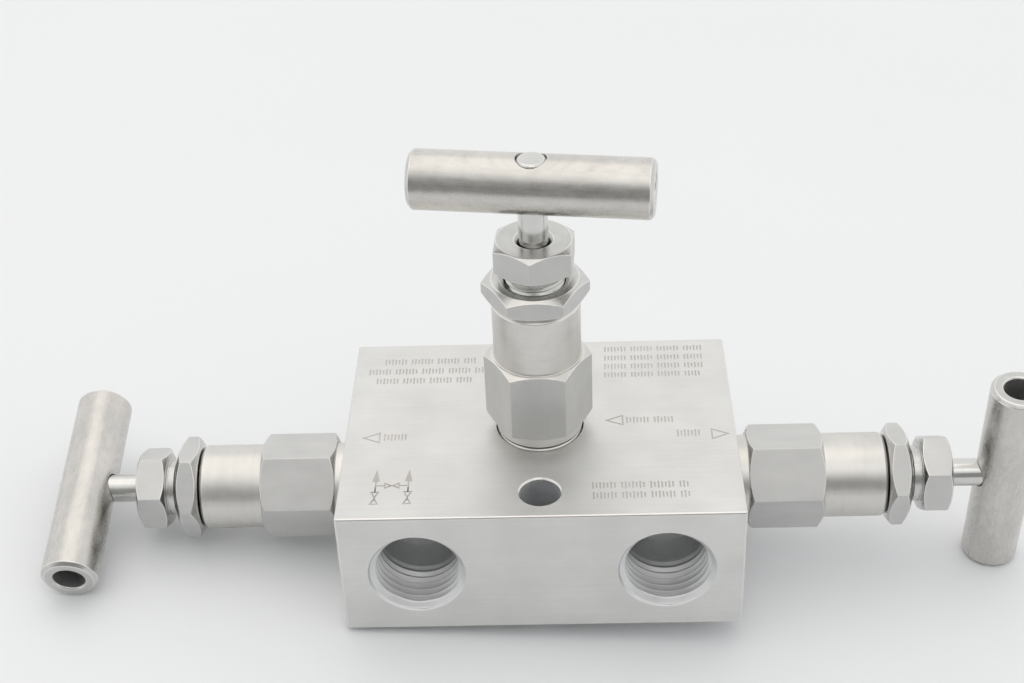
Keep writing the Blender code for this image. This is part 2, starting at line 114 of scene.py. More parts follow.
# Valve cavity and drillings in the block
CHAMBER_RADIUS = 6.35 * MM
CHAMBER_DEPTH = 18.4 * MM
SEAT_RADIUS = 4.5 * MM
ORIFICE_RADIUS = 2.4 * MM
ORIFICE_DEPTH = 25.0 * MM
UPSTREAM_DEPTH = 22.75 * MM
UPSTREAM_RADIUS = 2.0 * MM
DOWNSTREAM_DEPTH = 16.75 * MM
DRILLING_RADIUS = 1.6 * MM
DRILLING_OVERRUN = 2.0 * MM          # how far a passage runs on into its port
DOWNSTREAM_START = 5.0 * MM
EQUALIZING_START = 21.5 * MM
EQUALIZING_INSET = 0.5 * MM
LEFT_MEETING = (-3.0 * MM, 1.5 * MM)    # where the passages from each side end at the top
RIGHT_MEETING = (1.0 * MM, 0.6 * MM)    # valve's cavity
RIGHT_MEETING_DROP = 1.0 * MM

# Bonnet
SPIGOT_RADIUS = 9.525 * MM
SPIGOT_DEPTH = 13.0 * MM
SEAL_THICKNESS = 1.3 * MM
SEAL_BORE_RADIUS = 6.7 * MM
SPIGOT_PITCH = 25.4 / 16 * MM
SPIGOT_THREAD_DEPTH = 0.9 * MM
COLLAR_RADIUS = 9.6 * MM
COLLAR_HEIGHT = 3.1 * MM
COLLAR_CHAMFER = 0.4 * MM
BONNET_FLATS = 20.64 * MM
BONNET_HEX_TOP = 20.1 * MM
BONNET_FACE_RADIUS = 10.2 * MM
BARREL_RADIUS = 9.6 * MM
BARREL_TOP = 34.2 * MM
BARREL_CHAMFER = 0.7 * MM
BACKSEAT_DEPTH = 6.5 * MM
SKIRT_BORE_RADIUS = 6.0 * MM
PACKING_BASE = 14.2 * MM
PACKING_RADIUS = 6.2 * MM
ADJUSTER_THREAD_BASE = 25.0 * MM

# Lock nut
LOCK_NUT_FLATS = 20.26 * MM
LOCK_NUT_BASE = 34.5 * MM
LOCK_NUT_TOP = 39.5 * MM
LOCK_NUT_FACE_RADIUS = 9.4 * MM
LOCK_NUT_MOUTH_RADIUS = 7.8 * MM

# Packing adjuster
ADJUSTER_FLATS = 16.4 * MM
ADJUSTER_FACE_RADIUS = 8.0 * MM
ADJUSTER_HEAD_BASE = 42.3 * MM
ADJUSTER_HEAD_TOP = 48.9 * MM
ADJUSTER_SHANK_RADIUS = 6.35 * MM
ADJUSTER_SHANK_BASE = 25.9 * MM
ADJUSTER_MOUTH_RADIUS = 4.2 * MM
ADJUSTER_PITCH = 25.4 / 20 * MM
ADJUSTER_THREAD_DEPTH = 0.7 * MM
THREAD_RELIEF = 0.5 * MM
ADJUSTER_NECK = 1.7 * MM              # plain length under the adjuster's head

# Stem and tip
STEM_RADIUS = 3.15 * MM
STEM_THREAD_RADIUS = 4.76 * MM
STEM_THREAD_BASE = -9.0 * MM
STEM_THREAD_TOP = 8.0 * MM
STEM_PITCH = 25.4 / 20 * MM
STEM_THREAD_DEPTH = 0.6 * MM
STEM_THREAD_TRAVEL = 4.3 * MM        # room above the thread in the bonnet
STEM_CHAMFER = 0.4 * MM
STEM_FLANGE_RADIUS = 5.5 * MM
STEM_FLANGE_HEIGHT = 1.2 * MM
STEM_BASE = -12.0 * MM
SWIVEL_RADIUS = 2.1 * MM
SWIVEL_BASE = -16.0 * MM
TIP_RADIUS = 3.9 * MM
TIP_NOSE_RADIUS = 1.5 * MM
TIP_TOP = -12.3 * MM
SEAT_CLEARANCE = 0.42 * MM

# T-bar handle and its set screw
BAR_RADIUS = 6.35 * MM
BAR_LENGTH = 50.8 * MM
BAR_HEIGHT = 62.0 * MM
BAR_CHAMFER = 0.8 * MM
BAR_BORE_RADIUS = 3.5 * MM
BAR_BORE_CHAMFER = 0.35 * MM
BAR_STEM_HOLE_RADIUS = 3.32 * MM
HOLE_BREAK = 0.15 * MM
STEM_TOP_RECESS = 0.4 * MM
SET_SCREW_RADIUS = 3.2 * MM
SET_SCREW_LENGTH = 7.0 * MM
SET_SCREW_PITCH = 1.0 * MM
SET_SCREW_THREAD_DEPTH = 0.5 * MM
SET_SCREW_POINT = 1.2 * MM
SOCKET_FLATS = 3.0 * MM
SOCKET_DEPTH = 3.0 * MM
SOCKET_CORNER_RADIUS = 0.1 * MM

# Turns about each valve's own axis, in degrees: bonnet, lock nut, packing adjuster, handle
VALVE_TURNS = {"equalize": (0, 0, 25, -7.6), "left": (40, 38, -8, 77), "right": (20, 17, 55, 5)}

# Marks engraved in the top face, in millimetres from the face's centre
MARK_DEPTH = 0.06 * MM
LINE_WIDTH = 0.34
LINE_GAP = 0.05                      # kept between a line and the mark it leads to
RISER_X = (-35.5, -28.4)
RISER_TIP_Y = -15.4
ARROW_LENGTH = 4.0
ARROW_WIDTH = 1.6
LINK_Y = -20.8
SYMBOL_TOP_Y = -22.9
SYMBOL_LENGTH = 3.9
SYMBOL_WIDTH = 1.6
SYMBOL_TIP_GAP = LINE_WIDTH * 0.8    # from its middle to each triangle
LINK_SYMBOL_LENGTH = 3.0
OUTLINE_ARROW_LENGTH = 3.6
OUTLINE_ARROW_WIDTH = 3.4
FLOW_ARROWS = (((-39.5, -4.1), -1), ((41.8, -5.0), 1), ((15.0, 0.6), -1))
TICK_WIDTH = 0.34
TICK_PITCH = 0.78
TICK_HEIGHTS = (1.0, 0.7, 1.0, 0.85, 0.7, 1.0, 0.8, 0.0, 0.85, 1.0, 0.7, 1.0, 0.8, 1.0, 0.7, 0.0)
TICK_ROWS = (                        # left end, right end, middle and height of each row
    (-36.7, -14.4, 24.8, 2.2), (-40.2, -12.4, 20.9, 2.2), (-38.2, -15.4, 17.2, 2.2),
    (15.3, 39.2, 28.1, 2.0), (15.2, 38.9, 24.6, 2.0), (15.1, 38.6, 21.2, 2.0),
    (15.0, 38.4, 17.9, 2.0), (11.2, 33.0, -22.0, 2.2), (11.3, 32.7, -25.3, 2.2),
    (-34.9, -28.0, -4.0, 2.4), (30.5, 37.2, -4.5, 2.4), (19.4, 30.5, 0.6, 2.2))

# Stage: a pale floor, white surroundings, and a dim room behind the camera
NEAR_FLOOR_RADIUS = 0.3
FAR_FLOOR_RADIUS = 6.0
FLOOR_COLUMNS = 96
FLOOR_CLEARANCE = 0.05 * MM
FLOOR_FITS = 4                       # rounds of finding the touching points again
BRIGHT_LEVEL = 1.0
DIM_LEVEL = 0.32
DIM_ELEVATION = math.radians(-5)
DIM_REACH = (math.radians(65), math.radians(28))    # where it starts and is fully dim
BACKDROP_LEVEL = 0.87
SURROUNDINGS_COLOUR = (1.0, 0.995, 0.985)
BACKDROP_COLOUR = (0.965, 0.98, 1.0)

# Square soft lights: name, place and size in metres, radiance and colour
SOFTBOXES = (("overhead_softbox", (-0.15, 0.1, 0.95), 1.0, 0.38, (1.0, 0.93, 0.82)),
             ("front_fill", (0.15, -0.75, 0.85), 0.7, 0.4, (1.0, 0.99, 0.97)))

# Camera, relative to a point over the middle of the block
CAMERA_TARGET = Vector((-5.47, 0, 54.49)) * MM
CAMERA_DISTANCE = 371.76 * MM
CAMERA_AZIMUTH = 2.294
CAMERA_ELEVATION = 35.10
CAMERA_ROLL = -2.583
CAMERA_LENS = 60.05
CAMERA_CLIP = (0.01, 100)


# ----------------------------------------------------------------- profiles and lathe

def corner(radius, height, finish=TURNED, edge=BROKEN_EDGE):
    """A profile point, the finish of the face after it, and how far its edge is broken."""
    return (radius, height, finish, edge)


def rounded(points, closed):
    """Give each corner a short curve. Returns ((radius, height), finish after it) pairs."""
    outline = []
    last = len(points) - 1
    for index, (radius, height, finish, edge) in enumerate(points):
        here = Vector((radius, height))
        if edge == 0 or (not closed and index in (0, last)):
            outline.append((here, finish))
            continue
        before = Vector(points[index - 1][:2]) - here
        after = Vector(points[(index + 1) % len(points)][:2]) - here
        reach = min(edge, EDGE_SHARE * before.length, EDGE_SHARE * after.length)
        start = here + before.normalized() * reach
        end = here + after.normalized() * reach
        for step in range(EDGE_STEPS + 1):
            share = step / EDGE_STEPS
            spot = start.lerp(here, share).lerp(here.lerp(end, share), share)
            outline.append((spot, EDGE if step < EDGE_STEPS else finish))
    return outline


def round_columns(count=ROUND_COLUMNS):
    """(angle, reach) of each column round a circle; the profile itself gives the radius."""
    return [(FULL_TURN * index / count, 0) for index in range(count)]


def hexagon_columns(across_flats, turn=0, softness=HEX_CORNER_RADIUS):
    """(angle, reach) of each column round a hexagon with softened corners.

    At turn 0, in degrees, a corner is on +X.
    """
    apothem = across_flats / 2
    centre = (apothem - softness) / math.cos(THIRTY)
    tangent = math.atan2(softness * math.sin(THIRTY), centre + softness * math.cos(THIRTY))
    columns = []
    for index in range(6):
        middle = math.radians(turn + 60 * index)
        for step in range(-CORNER_STEPS, CORNER_STEPS + 1):
            swing = tangent * step / CORNER_STEPS
            across = centre * math.sin(swing)
            reach = centre * math.cos(swing) + math.sqrt(softness ** 2 - across ** 2)
            columns.append((middle + swing, reach))
        for step in range(1, FLAT_STEPS):
            swing = tangent + 2 * (THIRTY - tangent) * step / FLAT_STEPS
            columns.append((middle + swing, apothem / math.cos(swing - THIRTY)))
    return columns


def lathe(name, columns, profile, closed=False):
    """Object whose profile(angle, reach) is carried round +Z through the columns.

    A closed profile makes a ring, and starts on the rim of its bore. Two attributes steer
    the finishes: "turning" is the angle's cosine and sine and the millimetres along the
    profile, and "place" is the position in millimetres.
    """
    shape = bmesh.new()
    turning = shape.verts.layers.float_vector.new("turning")
    place = shape.verts.layers.float_vector.new("place")
    first_angle, first_reach = columns[0]
    strips = []
    for angle, reach in [*columns, (first_angle + FULL_TURN, first_reach)]:
        outline = rounded(profile(angle, reach), closed)
        if closed:
            outline.append(outline[0])
        strip = []
        along = 0
        before = outline[0][0]
        for spot, finish in outline:
            along += (spot - before).length
            before = spot
            cosine, sine = math.cos(angle), math.sin(angle)
            vert = shape.verts.new((spot.x * cosine, spot.x * sine, spot.y))
            vert[turning] = (cosine, sine, along / MM)
            vert[place] = vert.co / MM
            strip.append((vert, finish))
        strips.append(strip)
    for strip, next_strip in zip(strips, strips[1:]):
        for row in range(len(strip) - 1):
            face = shape.faces.new((strip[row][0], strip[row + 1][0],
                                    next_strip[row + 1][0], next_strip[row][0]))
            face.material_index = strip[row][1]
            face.smooth = True
    bmesh.ops.remove_doubles(shape, verts=shape.verts, dist=MERGE_DISTANCE)
    return add_object(name, shape)


def thread(wall, depth, top, bottom, pitch, angle, run_out):
    """Profile points of a right-handed screw thread between two heights.

    wall(height) is the plain radius, and the grooves leave it by depth, inwards if it is
    negative. They fade out over run_out, a length at the top and one at the bottom.
    """
    points = []
    for turn in range(-1, math.ceil((top - bottom) / pitch) + 1):
        for share, level in THREAD_STEPS:
            height = top + pitch * (angle / FULL_TURN - turn - share)
            height = min(max(height, bottom), top)
            fade = min(1, (top - height) / run_out[0], (height - bottom) / run_out[1])
            points.append(corner(wall(height) + depth * level * fade, height, edge=0))
    return points


def screw_thread(radius, depth, top, bottom, pitch, angle):
    """A thread cut into a plain shank, fading out over half a pitch at both ends."""
    return thread(lambda height: radius, -depth, top, bottom, pitch, angle,
                  (pitch / 2, pitch / 2))


def hexagon_band(reach, face_radius, top, base):
    """One column of a hexagon bar whose ends are turned to a chamfer."""
    rise = (reach - face_radius) * math.tan(THIRTY)
    return [corner(face_radius, top), corner(reach, top - rise, DRAWN),
            corner(reach, base + rise), corner(face_radius, base)]


# --------------------------------------------------------------------- mesh and objects

def add_to_scene(name, data):
    """New object for a mesh, light or camera."""
    item = bpy.data.objects.new(name, data)
    bpy.context.scene.collection.objects.link(item)
    return item


def add_object(name, shape):
    """New object from a bmesh, which is freed."""
    mesh = bpy.data.meshes.new(name)
    shape.to_mesh(mesh)
    shape.free()
    return add_to_scene(name, mesh)


def set_finishes(item, finishes):
    """Give each face the finish that its number asks for, with one slot for each finish.

    Slots are never cleared, because that would also reset the faces' numbers.
    """
    if item.data.materials:
        return
    unique = list(dict.fromkeys(finishes))
    for finish in unique:
        item.data.materials.append(finish)
    for face in item.data.polygons:
        face.material_index = unique.index(finishes[face.material_index])


def cut(item, cutters):
    """Take the cutters out of the item. The new faces keep the cutters' materials."""
    group = bpy.data.collections.new(item.name + "_cutters")
    for cutter in cutters:
        group.objects.link(cutter)
    modifier = item.modifiers.new("cut", "BOOLEAN")
    modifier.operation = "DIFFERENCE"
    modifier.solver = "EXACT"
    modifier.material_mode = "TRANSFER"
    modifier.operand_type = "COLLECTION"
    modifier.collection = group
    depsgraph = bpy.context.evaluated_depsgraph_get()
    mesh = bpy.data.meshes.new_from_object(
        item.evaluated_get(depsgraph), preserve_all_data_layers=True, depsgraph=depsgraph)
    item.modifiers.clear()
    item.data = mesh
    for cutter in cutters:
        bpy.data.objects.remove(cutter)
    bpy.data.collections.remove(group)


def shade(item):
    """Smooth shading that leaves flat faces flat beside their broken edges."""
    item.data.shade_smooth()
    item.data.set_sharp_from_angle(angle=SHARP_ANGLE)
    weighting = item.modifiers.new("flat_faces", "WEIGHTED_NORMAL")
    weighting.keep_sharp = True
    weighting.weight = FACE_WEIGHT


def put_in_place(item, node, place):
    """Stand the item for a CAD node, on the body that the node belongs to."""
    shade(item)
    item.matrix_world = place
    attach(item, frame["nodes"][node]["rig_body"])
    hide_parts(node)


# --------------------------------------------------------------------------- materials

def new_material(name, metallic=1.0, anisotropy=0.0):
    """Principled material with its fixed values set, ready for its noise."""
    material = bpy.data.materials.new(name)
    material.use_nodes = True
    shader = material.node_tree.nodes["Principled BSDF"]
    shader.inputs["Metallic"].default_value = metallic
    shader.inputs["Anisotropic"].default_value = anisotropy
    if anisotropy:
        tangent = material.node_tree.nodes.new("ShaderNodeTangent")
        tangent.direction_type = "RADIAL"
        tangent.axis = "Z"
        material.node_tree.links.new(tangent.outputs["Tangent"], shader.inputs["Tangent"])
    return material


def grain(material, source, stretch, detail=2.0):
    """Noise from 0 to 1 over an attribute, or over the object's millimetres.

    stretch is how many noise cells there are to each unit of the three coordinates.
    """
    tree = material.node_tree
    scale = tree.nodes.new("ShaderNodeVectorMath")
    scale.operation = "MULTIPLY"
    if source == "object":
        origin = tree.nodes.new("ShaderNodeTexCoord").outputs["Object"]
        scale.inputs[1].default_value = Vector(stretch) / MM
    else:
        attribute = tree.nodes.new("ShaderNodeAttribute")
        attribute.attribute_name = source
        origin = attribute.outputs["Vector"]
        scale.inputs[1].default_value = stretch
    tree.links.new(origin, scale.inputs[0])
    noise = tree.nodes.new("ShaderNodeTexNoise")
    noise.inputs["Scale"].default_value = 1.0
    noise.inputs["Detail"].default_value = detail
    tree.links.new(scale.outputs["Vector"], noise.inputs["Vector"])
    return noise.outputs["Fac"]


def swing(material, middle, terms):
    """A value that swings about its middle with each (noise, full swing) term."""
    tree = material.node_tree
    value = middle - sum(amount for _, amount in terms) / 2
    for noise, amount in terms:
        step = tree.nodes.new("ShaderNodeMath")
        step.operation = "MULTIPLY_ADD"
        tree.links.new(noise, step.inputs[0])
        step.inputs[1].default_value = amount
        if isinstance(value, float):
            step.inputs[2].default_value = value
        else:
            tree.links.new(value, step.inputs[2])
        value = step.outputs["Value"]
    return value


def paint(material, dark, light, terms):
    """Base colour that swings about the middle of two tones."""
    tree = material.node_tree
    factor = swing(material, 0.5, terms)
    mix = tree.nodes.new("ShaderNodeMix")
    mix.data_type = "RGBA"
    mix.inputs["A"].default_value = (*dark, 1)
    mix.inputs["B"].default_value = (*light, 1)
    tree.links.new(factor, mix.inputs["Factor"])
    tree.links.new(mix.outputs["Result"], tree.nodes["Principled BSDF"].inputs["Base Color"])


def roughen(material, middle, terms):
    """Roughness that swings about its middle."""
    tree = material.node_tree
    tree.links.new(swing(material, middle, terms),
                   tree.nodes["Principled BSDF"].inputs["Roughness"])


def emboss(material, terms):
    """Surface relief from (noise, height in millimetres) terms."""
    tree = material.node_tree
    bump = tree.nodes.new("ShaderNodeBump")
    bump.inputs["Strength"].default_value = 1.0
    bump.inputs["Distance"].default_value = MM
    tree.links.new(swing(material, 0.0, terms), bump.inputs["Height"])
    tree.links.new(bump.outputs["Normal"], tree.nodes["Principled BSDF"].inputs["Normal"])


def turned_steel(name, dark, light, roughness, anisotropy=0.5):
    """Lathe-turned steel: feed marks across the profile over faint handling patches."""
    material = new_material(name, anisotropy=anisotropy)
    feed = grain(material, "turning", (2.5, 2.5, 5.5))
    band = grain(material, "turning", (0.8, 0.8, 0.9))
    patch = grain(material, "place", (0.16, 0.16, 0.16), detail=4.0)
    paint(material, dark, light, [(feed, 0.3), (band, 0.4), (patch, 1.2)])
    roughen(material, roughness, [(feed, 0.10), (patch, 0.14)])
    emboss(material, [(feed, 0.0025), (band, 0.002)])
    return material


def drawn_steel(name, dark, light, roughness):
    """Cold-drawn flats: fine lines along the bar, with smudges and small dents."""
    material = new_material(name)
    lines = grain(material, "place", (4.0, 4.0, 0.09))
    patch = grain(material, "place", (0.22, 0.22, 0.12), detail=4.0)
    speck = grain(material, "place", (1.4, 1.4, 1.0), detail=3.0)
    paint(material, dark, light, [(lines, 0.25), (patch, 1.2), (speck, 0.3)])
    roughen(material, roughness, [(lines, 0.08), (patch, 0.12), (speck, 0.08)])
    emboss(material, [(lines, 0.002), (speck, 0.004)])
    return material


def bar_steel():
    """Round drawn bar: streaks along its length, warmer than the turned pieces."""
    material = new_material("bar_steel", anisotropy=0.3)
    streak = grain(material, "turning", (11.0, 11.0, 0.06))
    patch = grain(material, "place", (0.15, 0.15, 0.10), detail=4.0)
    scuff = grain(material, "place", (0.8, 0.8, 0.4), detail=3.0)
    paint(material, (0.47, 0.46, 0.445), (0.74, 0.72, 0.685),
          [(streak, 0.4), (patch, 0.9), (scuff, 0.6)])
    roughen(material, 0.28, [(streak, 0.08), (patch, 0.10), (scuff, 0.12)])
    emboss(material, [(streak, 0.001), (scuff, 0.0015), (patch, 0.004)])
    return material


def block_steel():
    """Milled and tumbled block: faint lengthwise streaks, soft mottling and fine pebbling."""
    material = new_material("milled_steel")
    streak = grain(material, "object", (0.05, 1.6, 1.6), detail=3.0)
    mottle = grain(material, "object", (0.09, 0.09, 0.09), detail=5.0)
    pebble = grain(material, "object", (2.6, 2.6, 2.6), detail=2.0)
    paint(material, (0.63, 0.63, 0.62), (0.78, 0.78, 0.765),
          [(streak, 0.5), (mottle, 1.2), (pebble, 0.3)])
    roughen(material, 0.45, [(streak, 0.08), (mottle, 0.12), (pebble, 0.08)])
    emboss(material, [(streak, 0.002), (pebble, 0.005), (mottle, 0.01)])
    return material


def bored_steel_painted_light(name, stretch, dark, light, roughness):
    """Drilled or tapped wall in the block, with tool marks round the hole; its colours are
    painted light, lighter than the block's steel, standing in for light that fills the hole.
    """
    material = new_material(name)
    marks = grain(material, "object", stretch)
    patch = grain(material, "object", (0.4, 0.4, 0.4), detail=3.0)
    paint(material, dark, light, [(marks, 0.6), (patch, 1.0)])
    roughen(material, roughness, [(marks, 0.12), (patch, 0.12)])
    emboss(material, [(marks, 0.005)])
    return material


def etched_steel():
    """Floor of the engraved marks: dull, brownish and uneven."""
    material = new_material("etched_steel", metallic=0.7)
    burn = grain(material, "object", (2.0, 2.0, 2.0), detail=3.0)
    fade = grain(material, "object", (0.12, 0.12, 0.12), detail=2.0)
    paint(material, (0.46, 0.43, 0.40), (0.66, 0.63, 0.60), [(burn, 0.8), (fade, 1.0)])
    roughen(material, 0.58, [(burn, 0.2)])
    emboss(material, [(burn, 0.02)])
    return material


def white_plastic():
    """Skived PTFE: waxy white with faint skiving lines."""
    material = new_material("white_plastic", metallic=0.0)
    skive = grain(material, "place", (0.8, 0.8, 5.0))
    cloud = grain(material, "place", (0.3, 0.3, 0.3), detail=3.0)
    paint(material, (0.78, 0.78, 0.74), (0.88, 0.88, 0.85), [(skive, 0.5), (cloud, 1.0)])
    roughen(material, 0.48, [(skive, 0.1), (cloud, 0.1)])
    emboss(material, [(skive, 0.004)])
    return material


def black_oxide():
    """Blackened alloy steel with rubbed brown-grey patches."""
    material = new_material("black_oxide", metallic=0.8)
    rub = grain(material, "place", (1.2, 1.2, 1.2), detail=4.0)
    marks = grain(material, "turning", (2.0, 2.0, 6.0))
    paint(material, (0.03, 0.03, 0.035), (0.16, 0.15, 0.14), [(rub, 1.6), (marks, 0.4)])
    roughen(material, 0.42, [(rub, 0.2), (marks, 0.1)])
    emboss(material, [(marks, 0.004)])
    return material


def make_materials():
    """Every finish, and the four that each family of pieces uses in its slots."""
    edge = turned_steel("burnished_edge", (0.66, 0.65, 0.63), (0.80, 0.79, 0.77), 0.22, 0.0)
    # The bore walls' colours are raised a little: painted light that lifts the shaded bores,
    # over their turning marks.
    bore = turned_steel("bored_wall_painted_light", (0.64, 0.64, 0.64), (0.78, 0.78, 0.78), 0.48)
    turned = turned_steel("turned_steel", (0.58, 0.57, 0.545), (0.77, 0.755, 0.725), 0.32)
    facing = turned_steel("faced_steel", (0.50, 0.50, 0.49), (0.68, 0.68, 0.66), 0.24, 0.4)
    drawn = drawn_steel("drawn_flats", (0.56, 0.56, 0.555), (0.69, 0.69, 0.68), 0.50)
    stem = turned_steel("ground_stem", (0.58, 0.58, 0.57), (0.74, 0.74, 0.72), 0.18, 0.3)
    bar = bar_steel()
    plastic = white_plastic()
    black = black_oxide()
    return {
        "bonnet": (turned, drawn, edge, bore),
        "nut": (facing, drawn, edge, bore),
        "stem": (stem, stem, edge, bore),
        "bar": (facing, bar, edge, bore),
        "inner": (facing, drawn, edge, bore),
        "plastic": (plastic,) * 4,
        "black": (black,) * 4,
        "block": block_steel(),
        "edge": edge,
        "etched": etched_steel(),
        # The port and hole walls are painted lighter and bluer than the block: painted light
        # filling these hollows, over their tool marks.
        "port": bored_steel_painted_light("tapped_port_painted_light", (0.3, 4.0, 0.3), (0.70, 0.705, 0.71),
                            (0.84, 0.845, 0.85), 0.52),
        "hole": bored_steel_painted_light("drilled_hole_painted_light", (0.3, 0.3, 3.0), (0.74, 0.75, 0.765),
                            (0.86, 0.87, 0.88), 0.55),
    }


# ------------------------------------------------------------------------ valve pieces

def bonnet_profile(angle, reach):
    """Bore rim, packing barrel, hexagon, collar, spigot thread, then back up the bore."""
    lower_bore = STEM_THREAD_RADIUS + RUNNING_GAP
    neck_bore = STEM_RADIUS + GAP
    neck_base = STEM_THREAD_TOP + STEM_THREAD_TRAVEL
    upper_bore = ADJUSTER_SHANK_RADIUS + GAP
    hexagon = hexagon_band(reach, BONNET_FACE_RADIUS, BONNET_HEX_TOP, COLLAR_HEIGHT)
    return [corner(upper_bore, BARREL_TOP),
            corner(BARREL_RADIUS - BARREL_CHAMFER, BARREL_TOP),
            corner(BARREL_RADIUS, BARREL_TOP - BARREL_CHAMFER),
            corner(BARREL_RADIUS, BONNET_HEX_TOP), *hexagon,
            corner(COLLAR_RADIUS, COLLAR_HEIGHT),
            corner(COLLAR_RADIUS, GAP + COLLAR_CHAMFER),
            corner(COLLAR_RADIUS - COLLAR_CHAMFER, GAP),
            corner(SPIGOT_RADIUS - COLLAR_CHAMFER, 0),
            corner(SPIGOT_RADIUS, -COLLAR_CHAMFER),
            *screw_thread(SPIGOT_RADIUS, SPIGOT_THREAD_DEPTH, -COLLAR_CHAMFER * 2,
                          COLLAR_CHAMFER - SPIGOT_DEPTH, SPIGOT_PITCH, angle),
            corner(SPIGOT_RADIUS, -SPIGOT_DEPTH),
            corner(SKIRT_BORE_RADIUS, -SPIGOT_DEPTH, BORE),
            corner(SKIRT_BORE_RADIUS, -BACKSEAT_DEPTH, BORE),
            corner(lower_bore, -BACKSEAT_DEPTH, BORE), corner(lower_bore, neck_base, BORE),
            corner(neck_bore, neck_base, BORE), corner(neck_bore, PACKING_BASE, BORE),
            corner(PACKING_RADIUS, PACKING_BASE, BORE),
            corner(PACKING_RADIUS, ADJUSTER_THREAD_BASE, BORE),
            corner(upper_bore, ADJUSTER_THREAD_BASE, BORE)]


def lock_nut_profile(angle, reach):
    """Hexagon between two faces, with a bore sunk at both mouths."""
    bore = ADJUSTER_SHANK_RADIUS + GAP
    sink = (LOCK_NUT_MOUTH_RADIUS - bore) / 2
    return [corner(LOCK_NUT_MOUTH_RADIUS, LOCK_NUT_TOP),
            *hexagon_band(reach, LOCK_NUT_FACE_RADIUS, LOCK_NUT_TOP, LOCK_NUT_BASE),
            corner(LOCK_NUT_MOUTH_RADIUS, LOCK_NUT_BASE),
            corner(bore, LOCK_NUT_BASE + sink, BORE), corner(bore, LOCK_NUT_TOP - sink)]


def adjuster_profile(angle, reach):
    """Hexagon head, threaded shank, then back up the bore."""
    bore = STEM_RADIUS + GAP
    sink = ADJUSTER_MOUTH_RADIUS - bore
    shank = ADJUSTER_SHANK_RADIUS
    return [corner(ADJUSTER_MOUTH_RADIUS, ADJUSTER_HEAD_TOP),
            *hexagon_band(reach, ADJUSTER_FACE_RADIUS, ADJUSTER_HEAD_TOP, ADJUSTER_HEAD_BASE),
            corner(shank, ADJUSTER_HEAD_BASE),
            *screw_thread(shank, ADJUSTER_THREAD_DEPTH, ADJUSTER_HEAD_BASE - ADJUSTER_NECK,
                          ADJUSTER_SHANK_BASE + THREAD_RELIEF * 2, ADJUSTER_PITCH, angle),
            corner(shank, ADJUSTER_SHANK_BASE + THREAD_RELIEF),
            corner(shank - THREAD_RELIEF, ADJUSTER_SHANK_BASE),
            corner(bore, ADJUSTER_SHANK_BASE, BORE), corner(bore, ADJUSTER_HEAD_TOP - sink)]


def stem_profile(angle, reach):
    """Rod, screwed length, back-seat flange and swivel button, from the top down."""
    top = BAR_HEIGHT + BAR_RADIUS - STEM_TOP_RECESS
    flange_top = STEM_BASE + STEM_FLANGE_HEIGHT
    edge = STEM_CHAMFER
    return [corner(0, top), corner(STEM_RADIUS - edge, top), corner(STEM_RADIUS, top - edge),
            corner(STEM_RADIUS, STEM_THREAD_TOP),
            corner(STEM_THREAD_RADIUS - edge, STEM_THREAD_TOP),
            corner(STEM_THREAD_RADIUS, STEM_THREAD_TOP - edge),
            *screw_thread(STEM_THREAD_RADIUS, STEM_THREAD_DEPTH, STEM_THREAD_TOP - edge * 2,
                          STEM_THREAD_BASE + edge, STEM_PITCH, angle),
            corner(STEM_THREAD_RADIUS, STEM_THREAD_BASE),
            corner(STEM_RADIUS, STEM_THREAD_BASE), corner(STEM_RADIUS, flange_top),
            corner(STEM_FLANGE_RADIUS, flange_top), corner(STEM_FLANGE_RADIUS, STEM_BASE),
            corner(SWIVEL_RADIUS, STEM_BASE), corner(SWIVEL_RADIUS, SWIVEL_BASE),
            corner(0, SWIVEL_BASE)]


def tip_profile(angle, reach):
    """Cup round the stem's button, then the outside down to the conical nose."""
    socket = SWIVEL_RADIUS + GAP
    floor = SWIVEL_BASE - GAP
    shoulder = -CHAMBER_DEPTH - (SEAT_RADIUS - TIP_RADIUS) + SEAT_CLEARANCE
    nose = shoulder - (TIP_RADIUS - TIP_NOSE_RADIUS)
    return [corner(0, floor), corner(socket, floor), corner(socket, TIP_TOP),
            corner(TIP_RADIUS, TIP_TOP), corner(TIP_RADIUS, shoulder),
            corner(TIP_NOSE_RADIUS, nose), corner(0, nose)]


def ring(name, inner, node, valve_place):
    """A flat-ended ring that takes its height and outside from its CAD node."""
    low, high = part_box(node)
    inverse = valve_place.inverted()
    base, top = sorted((inverse @ low).z for low in (low, high))
    outer = max(high - low) / 2
    return lathe(name, round_columns(),
                 lambda angle, reach: [corner(inner, top), corner(outer, top),
                                       corner(outer, base), corner(inner, base)], closed=True)


def bar_profile(angle, reach):
    """Round bar with chamfered ends and a bore right through, along +Z."""
    half = BAR_LENGTH / 2
    sink = BAR_BORE_CHAMFER
    return [corner(BAR_BORE_RADIUS + sink, half), corner(BAR_RADIUS - BAR_CHAMFER, half),
            corner(BAR_RADIUS, half - BAR_CHAMFER, DRAWN),
            corner(BAR_RADIUS, BAR_CHAMFER - half), corner(BAR_RADIUS - BAR_CHAMFER, -half),
            corner(BAR_BORE_RADIUS + sink, -half), corner(BAR_BORE_RADIUS, sink - half, BORE),
            corner(BAR_BORE_RADIUS, half - sink)]


def stem_hole_profile(angle, reach):
    """Cross hole along +Z for a bar along X, flared where it breaks the bar's surface."""
    hole = BAR_STEM_HOLE_RADIUS
    flare_base = math.sqrt(BAR_RADIUS ** 2 - (hole * math.sin(angle)) ** 2) - HOLE_BREAK
    top = BAR_RADIUS + OVERCUT
    wide = hole + top - flare_base
    return [corner(0, top, BORE, 0), corner(wide, top, EDGE, 0),
            corner(hole, flare_base, BORE, 0), corner(hole, -flare_base, EDGE, 0),
            corner(wide, -top, BORE, 0), corner(0, -top, BORE, 0)]


